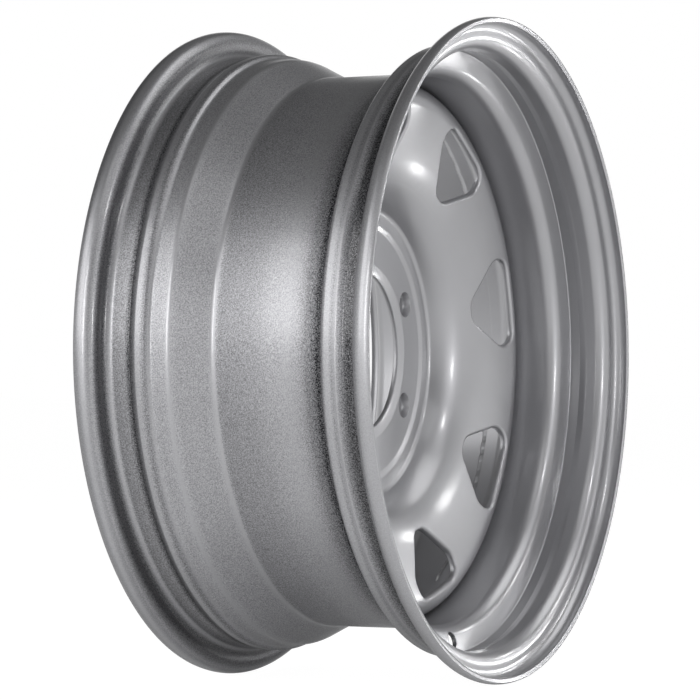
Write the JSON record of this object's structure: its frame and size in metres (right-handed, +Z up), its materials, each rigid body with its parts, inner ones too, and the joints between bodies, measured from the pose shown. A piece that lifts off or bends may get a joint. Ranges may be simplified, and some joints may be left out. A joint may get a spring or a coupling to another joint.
{
  "type": "steel wheel rim",
  "caption": "Painted pressed-steel road wheel: a rolled drop-centre hoop with lipped flanges and a valve hole, welded round a dished centre disc with windows, lug holes and a hub bore.",
  "frame": {"origin": "Centre of the wheel: on the axle, midway between the two rim flanges.", "axes": "The wheel stands upright as on a vehicle. +Y runs along the axle toward the vehicle, so the outboard face looks along -Y. +Z is up, +X is level and square to the axle."},
  "size_m": [0.4399, 0.2054, 0.44],
  "materials": {
    "silver_paint": "satin"
  },
  "bodies": {
    "root": {"rim": "silver_paint", "disc": "silver_paint", "weld_beads": "silver_paint"}
  },
  "joints": []
}
